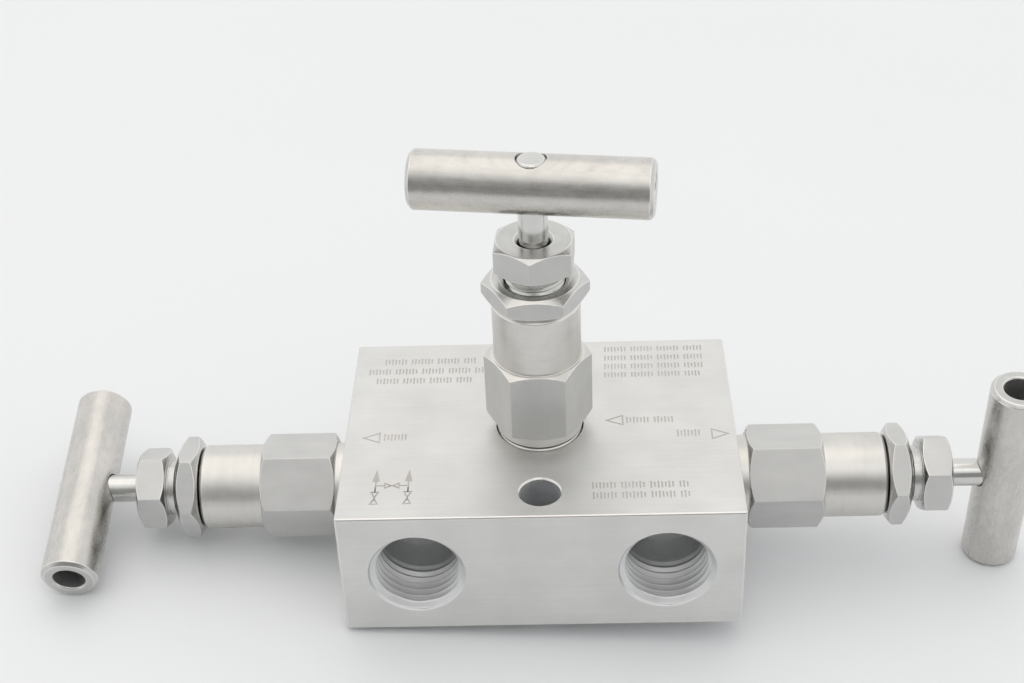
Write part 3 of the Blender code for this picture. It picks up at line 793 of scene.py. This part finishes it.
def handle(name, finishes):
    """T-bar along its own +Z, with the stem's hole along its X."""
    bar = lathe(name, round_columns(), bar_profile, closed=True)
    hole = lathe(name + "_stem_hole", round_columns(), stem_hole_profile)
    hole.rotation_euler = (0, math.pi / 2, 0)
    set_finishes(bar, finishes)
    set_finishes(hole, finishes)
    cut(bar, [hole])
    return bar


def set_screw_profile(angle, reach):
    """Screw along the bar's +Z, from its outer end down to the point against the stem."""
    inner_end = STEM_RADIUS + GAP
    outer_end = inner_end + SET_SCREW_LENGTH
    point = SET_SCREW_POINT
    edge = STEM_CHAMFER
    return [corner(0, outer_end), corner(SET_SCREW_RADIUS - edge, outer_end),
            corner(SET_SCREW_RADIUS, outer_end - edge),
            *screw_thread(SET_SCREW_RADIUS, SET_SCREW_THREAD_DEPTH, outer_end - edge * 1.5,
                          inner_end + point + edge, SET_SCREW_PITCH, angle),
            corner(SET_SCREW_RADIUS, inner_end + point),
            corner(SET_SCREW_RADIUS - point, inner_end), corner(0, inner_end)]


def socket_profile(angle, reach):
    """Hexagon socket, with the drill's cone below it."""
    outer_end = STEM_RADIUS + GAP + SET_SCREW_LENGTH
    floor = outer_end - SOCKET_DEPTH
    return [corner(0, outer_end + OVERCUT, edge=0), corner(reach, outer_end + OVERCUT, edge=0),
            corner(reach, floor, edge=0), corner(0, floor - SOCKET_FLATS / 4, edge=0)]


def set_screw(name, finishes):
    """Set screw with its hexagon socket, along the bar's +Z."""
    screw = lathe(name, round_columns(SMALL_COLUMNS), set_screw_profile)
    socket = lathe(name + "_socket",
                   hexagon_columns(SOCKET_FLATS, softness=SOCKET_CORNER_RADIUS), socket_profile)
    set_finishes(screw, finishes)
    set_finishes(socket, finishes)
    cut(screw, [socket])
    return screw


def valve_frame(valve):
    """Matrix whose +Z runs out of the block along the stem, from the block's face."""
    block_low, block_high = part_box("manifold_block")
    low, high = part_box(valve + "_stem")
    axis = (low + high) / 2
    if valve == "equalize":
        return Matrix.Translation((axis.x, axis.y, block_high.z))
    side = -1 if valve == "left" else 1
    face = block_low.x if side < 0 else block_high.x
    return (Matrix.Translation((face, axis.y, axis.z))
            @ Matrix.Rotation(side * math.pi / 2, 4, "Y"))


def make_valve(valve, finishes):
    """The twelve pieces of one valve."""
    place = valve_frame(valve)
    bonnet_turn, nut_turn, adjuster_turn, handle_turn = VALVE_TURNS[valve]
    bar_place = (place @ Matrix.Translation((0, 0, BAR_HEIGHT))
                 @ Matrix.Rotation(math.radians(handle_turn), 4, "Z")
                 @ Matrix.Rotation(math.pi / 2, 4, "Y"))

    def add(part, family, make, at=place):
        """Build one part from its columns or maker, finish it and stand it in place."""
        node = f"{valve}_{part}"
        item = make(node + "_machined")
        set_finishes(item, finishes[family])
        put_in_place(item, node, at)

    def turned(columns, profile, closed=False):
        return lambda name: lathe(name, columns, profile, closed)

    def bored(part, inner):
        return lambda name: ring(name, inner, f"{valve}_{part}", place)

    add("bonnet", "bonnet",
        turned(hexagon_columns(BONNET_FLATS, bonnet_turn), bonnet_profile, True))
    add("lock_nut", "nut",
        turned(hexagon_columns(LOCK_NUT_FLATS, nut_turn), lock_nut_profile, True))
    add("packing_adjuster", "nut",
        turned(hexagon_columns(ADJUSTER_FLATS, adjuster_turn), adjuster_profile, True))
    add("stem", "stem", turned(round_columns(SMALL_COLUMNS), stem_profile))
    add("stem_tip", "inner", turned(round_columns(SMALL_COLUMNS), tip_profile))
    stem_bore = STEM_RADIUS + GAP
    for part, slot, family in (("packing_washer", "inner_steel", "inner"),
                               ("packing_ring_lower", "packing", "plastic"),
                               ("packing_ring_upper", "packing", "plastic"),
                               ("packing_follower", "inner_steel", "inner")):
        add(part, family, bored(part, stem_bore))
    add("bonnet_seal", "plastic", bored("bonnet_seal", SEAL_BORE_RADIUS))
    add("handle", "bar", lambda name: handle(name, finishes["bar"]), bar_place)
    add("handle_set_screw", "black",
        lambda name: set_screw(name, finishes["black"]), bar_place)


# ------------------------------------------------------------------------------- block

def port_profile(angle, reach):
    """Tapped pipe port along +Z, mouth at the top: countersink, taper thread, drill end."""
    def taper(height):
        return PORT_CREST_RADIUS + height * PORT_TAPER

    def countersink(height):
        return PORT_MOUTH_RADIUS + height

    threaded = [corner(max(radius, countersink(height)), height, edge=0)
                for radius, height, _, _ in
                thread(taper, PORT_THREAD_DEPTH, 0, -PORT_THREAD_LENGTH, PORT_PITCH, angle,
                       (RUNNING_GAP, PORT_RUN_OUT))]
    drill = taper(-PORT_DEPTH)
    return [corner(0, OVERCUT, edge=0), corner(PORT_MOUTH_RADIUS, OVERCUT, edge=0), *threaded,
            corner(drill, -PORT_DEPTH, edge=0), corner(0, -PORT_DEPTH, edge=0)]


def bolt_hole_profile(angle, reach):
    """Through hole up +Z from the base, with its chamfers."""
    low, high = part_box("manifold_block")
    height = high.z - low.z
    chamfer = BOLT_HOLE_CHAMFER
    wide = BOLT_HOLE_RADIUS + chamfer + OVERCUT
    return [corner(0, height + OVERCUT, edge=0), corner(wide, height + OVERCUT, EDGE, 0),
            corner(BOLT_HOLE_RADIUS, height - chamfer), corner(BOLT_HOLE_RADIUS, chamfer, EDGE),
            corner(wide, -OVERCUT, edge=0), corner(0, -OVERCUT, edge=0)]


def cavity_profile(angle, reach):
    """Stepped hole for one valve: bonnet thread, seal shoulder, chamber, seat, orifice."""
    wall = SPIGOT_RADIUS + GAP
    shoulder = SPIGOT_DEPTH + SEAL_THICKNESS + 2 * GAP
    seat_drop = SEAT_RADIUS - ORIFICE_RADIUS
    return [corner(0, OVERCUT, edge=0), corner(wall, OVERCUT, edge=0),
            corner(wall, -shoulder, edge=0), corner(CHAMBER_RADIUS, -shoulder),
            corner(CHAMBER_RADIUS, -CHAMBER_DEPTH), corner(SEAT_RADIUS, -CHAMBER_DEPTH),
            corner(ORIFICE_RADIUS, -CHAMBER_DEPTH - seat_drop),
            corner(ORIFICE_RADIUS, -ORIFICE_DEPTH, edge=0), corner(0, -ORIFICE_DEPTH, edge=0)]


def drilling(name, radius, start, end):
    """Straight drilled hole between two points."""
    start, end = Vector(start), Vector(end)
    length = (end - start).length
    hole = lathe(name, round_columns(SMALL_COLUMNS), lambda angle, reach: [
        corner(0, length, edge=0), corner(radius, length, edge=0), corner(radius, 0, edge=0),
        corner(0, 0, edge=0)])
    turn = (end - start).to_track_quat("Z", "Y").to_matrix().to_4x4()
    hole.matrix_world = Matrix.Translation(start) @ turn
    return hole


def block_drillings(low, high):
    """The flow passages, laid out as in the frame."""
    port_height = (low.z + high.z) / 2
    floor = high.y - PORT_DEPTH
    holes = []
    for side, name in ((-1, "left"), (1, "right")):
        stem_low, stem_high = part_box(name + "_stem")
        axis_height = (stem_low.z + stem_high.z) / 2
        upstream = side * (high.x - UPSTREAM_DEPTH)
        downstream = side * (high.x - DOWNSTREAM_DEPTH)
        holes.append(drilling(name + "_upstream", UPSTREAM_RADIUS,
                              (upstream, -floor - DRILLING_OVERRUN, axis_height),
                              (upstream, 0, axis_height)))
        holes.append(drilling(name + "_downstream", DRILLING_RADIUS,
                              (downstream, DOWNSTREAM_START, axis_height),
                              (downstream, floor + DRILLING_OVERRUN, axis_height)))
        meeting = ((*LEFT_MEETING, high.z - DOWNSTREAM_DEPTH) if side < 0 else
                   (*RIGHT_MEETING, high.z - UPSTREAM_DEPTH - RIGHT_MEETING_DROP))
        holes.append(drilling(name + "_equalizing", DRILLING_RADIUS,
                              (side * EQUALIZING_START, floor + EQUALIZING_INSET, port_height),
                              meeting))
    return holes


def block_holes(low, high, finishes):
    """Every hole in the block, each cutter carrying the finish that it leaves."""
    middle_height = (low.z + high.z) / 2
    holes = block_drillings(low, high)
    for valve in VALVE_TURNS:
        cavity = lathe(valve + "_cavity", round_columns(), cavity_profile)
        cavity.matrix_world = valve_frame(valve)
        holes.append(cavity)
    for side in (-1, 1):
        bolt = lathe("bolt_hole", round_columns(SMALL_COLUMNS), bolt_hole_profile)
        bolt.location = (0, side * BOLT_HOLE_OFFSET, low.z)
        holes.append(bolt)
    wall, edge = finishes["hole"], finishes["edge"]
    for hole in holes:
        set_finishes(hole, [wall, wall, edge, wall])
    for side in (-1, 1):
        for face in (-1, 1):
            port = lathe("port", round_columns(PORT_COLUMNS), port_profile)
            port.location = (side * PORT_SPACING / 2, face * high.y, middle_height)
            port.rotation_euler = (-face * math.pi / 2, 0, 0)
            set_finishes(port, [finishes["port"]])
            holes.append(port)
    return holes


def make_block(finishes):
    """The block with its edges broken, its holes drilled and its marks engraved."""
    low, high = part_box("manifold_block")
    shape = bmesh.new()
    bmesh.ops.create_cube(shape, size=1)
    bmesh.ops.scale(shape, verts=shape.verts, vec=high - low)
    bmesh.ops.translate(shape, verts=shape.verts, vec=(low + high) / 2)
    broken = bmesh.ops.bevel(shape, geom=shape.edges[:], offset=BLOCK_EDGE,
                             segments=BLOCK_EDGE_STEPS, profile=0.5, affect="EDGES")
    for face in broken["faces"]:
        face.material_index = 1
    block = add_object("manifold_block_machined", shape)
    set_finishes(block, [finishes["block"], finishes["edge"]])
    cut(block, [*block_holes(low, high, finishes), engraving(high.z, finishes)])
    put_in_place(block, "manifold_block", Matrix.Identity(4))


# --------------------------------------------------------------------------- engraving

def add_stroke(shape, points, closed=False):
    """A line of LINE_WIDTH along the points, in millimetres, with mitred corners."""
    points = [Vector(point) for point in points]
    count = len(points)
    sides = []
    for index, point in enumerate(points):
        ways = []
        if closed or index > 0:
            ways.append((point - points[index - 1]).normalized())
        if closed or index < count - 1:
            ways.append((points[(index + 1) % count] - point).normalized())
        across = sum((Vector((-way.y, way.x)) for way in ways), Vector((0, 0))).normalized()
        spread = LINE_WIDTH / 2 / across.dot(Vector((-ways[0].y, ways[0].x)))
        sides.append([shape.verts.new((*(point + across * offset), 0))
                      for offset in (spread, -spread)])
    following = sides[1:] + (sides[:1] if closed else [])
    for first, second in zip(sides, following):
        shape.faces.new((first[0], first[1], second[1], second[0]))


def add_patch(shape, points):
    """A filled polygon through the points, in millimetres."""
    shape.faces.new([shape.verts.new((*point, 0)) for point in points])


def add_valve_symbol(shape, centre, along, length, width):
    """Two outlined triangles tip to tip, along a direction."""
    centre, along = Vector(centre), Vector(along)
    across = Vector((-along.y, along.x)) * (width / 2)
    for way in (-1, 1):
        tip = centre + along * (way * SYMBOL_TIP_GAP)
        base = centre + along * (way * length / 2)
        add_stroke(shape, (tip, base + across * way, base - across * way), closed=True)


def add_flow_schematic(shape):
    """Two rising flow lines, each through a valve, joined by an equalizing valve."""
    head_base = RISER_TIP_Y - ARROW_LENGTH
    clear = LINE_WIDTH / 2 + LINE_GAP
    for x in RISER_X:
        add_patch(shape, ((x - ARROW_WIDTH / 2, head_base), (x + ARROW_WIDTH / 2, head_base),
                          (x, RISER_TIP_Y)))
        add_stroke(shape, ((x, head_base - LINE_GAP), (x, SYMBOL_TOP_Y + 2 * LINE_GAP)))
        add_valve_symbol(shape, (x, SYMBOL_TOP_Y - SYMBOL_LENGTH / 2), (0, 1), SYMBOL_LENGTH,
                         SYMBOL_WIDTH)
    left, right = RISER_X
    middle = (left + right) / 2
    add_valve_symbol(shape, (middle, LINK_Y), (1, 0), LINK_SYMBOL_LENGTH, SYMBOL_WIDTH)
    for start, end in ((left + clear, middle - LINK_SYMBOL_LENGTH / 2 - clear),
                       (middle + LINK_SYMBOL_LENGTH / 2 + clear, right - clear)):
        add_stroke(shape, ((start, LINK_Y), (end, LINK_Y)))


def add_arrow(shape, tip, way):
    """Outlined arrowhead that points left or right."""
    x, y = tip
    back = x - way * OUTLINE_ARROW_LENGTH
    add_stroke(shape, ((x, y), (back, y + OUTLINE_ARROW_WIDTH / 2),
                       (back, y - OUTLINE_ARROW_WIDTH / 2)), closed=True)


def add_ticks(shape, start, end, y, height):
    """A row of plain upright ticks, grouped like words, in place of lettering."""
    for index in range(int((end - start) / TICK_PITCH)):
        left = start + index * TICK_PITCH
        right = left + TICK_WIDTH
        reach = TICK_HEIGHTS[index % len(TICK_HEIGHTS)] * height / 2
        if reach:
            add_patch(shape, ((left, y - reach), (right, y - reach), (right, y + reach),
                              (left, y + reach)))


def engraving(face_height, finishes):
    """Cutter for all the marks in the top face."""
    shape = bmesh.new()
    add_flow_schematic(shape)
    for tip, way in FLOW_ARROWS:
        add_arrow(shape, tip, way)
    for row in TICK_ROWS:
        add_ticks(shape, *row)
    bmesh.ops.scale(shape, verts=shape.verts, vec=(MM, MM, MM))
    bmesh.ops.translate(shape, verts=shape.verts, vec=(0, 0, face_height - MARK_DEPTH))
    raised = bmesh.ops.extrude_face_region(shape, geom=shape.faces[:])
    lifted = [item for item in raised["geom"] if isinstance(item, bmesh.types.BMVert)]
    bmesh.ops.translate(shape, verts=lifted, vec=(0, 0, MARK_DEPTH + OVERCUT))
    bmesh.ops.recalc_face_normals(shape, faces=shape.faces)
    marks = add_object("marks", shape)
    set_finishes(marks, [finishes["etched"]])
    return marks


# ------------------------------------------------------------ stage, lights and camera

def resting_plane():
    """The floor's normal and its height under the origin.

    The manifold rests on its side handles' ends and the rear of its block's lower left edge.
    """
    low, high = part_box("manifold_block")
    edge = Vector((low.x, high.y, low.z))
    normal = Vector((0, 0, 1))
    for _ in range(FLOOR_FITS):
        left, right = (min((vertex.co for vertex in frame["nodes"][node].data.vertices),
                           key=normal.dot) for node in ("left_handle", "right_handle"))
        normal = (left - edge).cross(right - edge).normalized()
    return normal, normal.dot(edge) / normal.z


def make_floor():
    """The floor's far part is left out of reflections, where the surroundings take over."""
    normal, height = resting_plane()
    place = (Matrix.Translation((0, 0, height - FLOOR_CLEARANCE))
             @ normal.to_track_quat("Z", "Y").to_matrix().to_4x4())
    material = new_material("pale_floor", metallic=0.0)
    cloud = grain(material, "object", (0.004, 0.004, 0.004), detail=3.0)
    paint(material, (0.80, 0.815, 0.835), (0.84, 0.855, 0.875), [(cloud, 1.0)])
    roughen(material, 0.55, [(cloud, 0.1)])
    for name, inner, outer in (("near_floor", 0, NEAR_FLOOR_RADIUS),
                               ("far_floor", NEAR_FLOOR_RADIUS, FAR_FLOOR_RADIUS)):
        floor = lathe(name, round_columns(FLOOR_COLUMNS), lambda angle, reach: [
            corner(inner, 0, edge=0), corner(outer, 0, edge=0)])
        floor.matrix_world = place
        floor.visible_glossy = inner == 0
        set_finishes(floor, [material])


def make_world():
    """White surroundings with a soft-edged dim room behind the camera."""
    world = bpy.data.worlds.new("studio")
    world.use_nodes = True
    tree = world.node_tree
    surroundings = tree.nodes["Background"]
    surroundings.inputs["Color"].default_value = (*SURROUNDINGS_COLOUR, 1)
    backdrop = tree.nodes.new("ShaderNodeBackground")
    backdrop.inputs["Color"].default_value = (*BACKDROP_COLOUR, 1)
    backdrop.inputs["Strength"].default_value = BACKDROP_LEVEL
    direction = tree.nodes.new("ShaderNodeTexCoord").outputs["Generated"]
    facing = tree.nodes.new("ShaderNodeVectorMath")
    facing.operation = "DOT_PRODUCT"
    tree.links.new(direction, facing.inputs[0])
    facing.inputs[1].default_value = (0, -math.cos(DIM_ELEVATION), math.sin(DIM_ELEVATION))
    level = tree.nodes.new("ShaderNodeMapRange")
    level.interpolation_type = "SMOOTHSTEP"
    tree.links.new(facing.outputs["Value"], level.inputs["Value"])
    level.inputs["From Min"].default_value = math.cos(DIM_REACH[0])
    level.inputs["From Max"].default_value = math.cos(DIM_REACH[1])
    level.inputs["To Min"].default_value = BRIGHT_LEVEL
    level.inputs["To Max"].default_value = DIM_LEVEL
    tree.links.new(level.outputs["Result"], surroundings.inputs["Strength"])
    seen = tree.nodes.new("ShaderNodeLightPath").outputs["Is Camera Ray"]
    mix = tree.nodes.new("ShaderNodeMixShader")
    tree.links.new(seen, mix.inputs[0])
    tree.links.new(surroundings.outputs["Background"], mix.inputs[1])
    tree.links.new(backdrop.outputs["Background"], mix.inputs[2])
    tree.links.new(mix.outputs["Shader"], tree.nodes["World Output"].inputs["Surface"])
    bpy.context.scene.world = world


def add_softbox(name, location, size, radiance, colour):
    """Square soft light aimed at the middle of the object; radiance 1 looks pure white."""
    light = bpy.data.lights.new(name, "AREA")
    light.shape = "SQUARE"
    light.size = size
    light.energy = radiance * math.pi * size ** 2
    light.color = colour
    lamp = add_to_scene(name, light)
    lamp.location = location
    lamp.rotation_euler = (CAMERA_TARGET - lamp.location).to_track_quat("-Z", "Y").to_euler()


def make_camera():
    """Camera at the distance, direction and roll given above."""
    azimuth, elevation = math.radians(CAMERA_AZIMUTH), math.radians(CAMERA_ELEVATION)
    back = Vector((math.sin(azimuth) * math.cos(elevation),
                   -math.cos(azimuth) * math.cos(elevation), math.sin(elevation)))
    data = bpy.data.cameras.new("camera")
    data.lens = CAMERA_LENS
    data.clip_start, data.clip_end = CAMERA_CLIP
    camera = add_to_scene("camera", data)
    aim = (-back).to_track_quat("-Z", "Y").to_matrix().to_4x4()
    camera.matrix_world = (Matrix.Translation(CAMERA_TARGET + back * CAMERA_DISTANCE) @ aim
                           @ Matrix.Rotation(math.radians(CAMERA_ROLL), 4, "Z"))
    bpy.context.scene.camera = camera


finishes = make_materials()
make_block(finishes)
for valve in VALVE_TURNS:
    make_valve(valve, finishes)
make_floor()
make_world()
for softbox in SOFTBOXES:
    add_softbox(*softbox)
make_camera()
bpy.context.scene.view_settings.view_transform = "Standard"
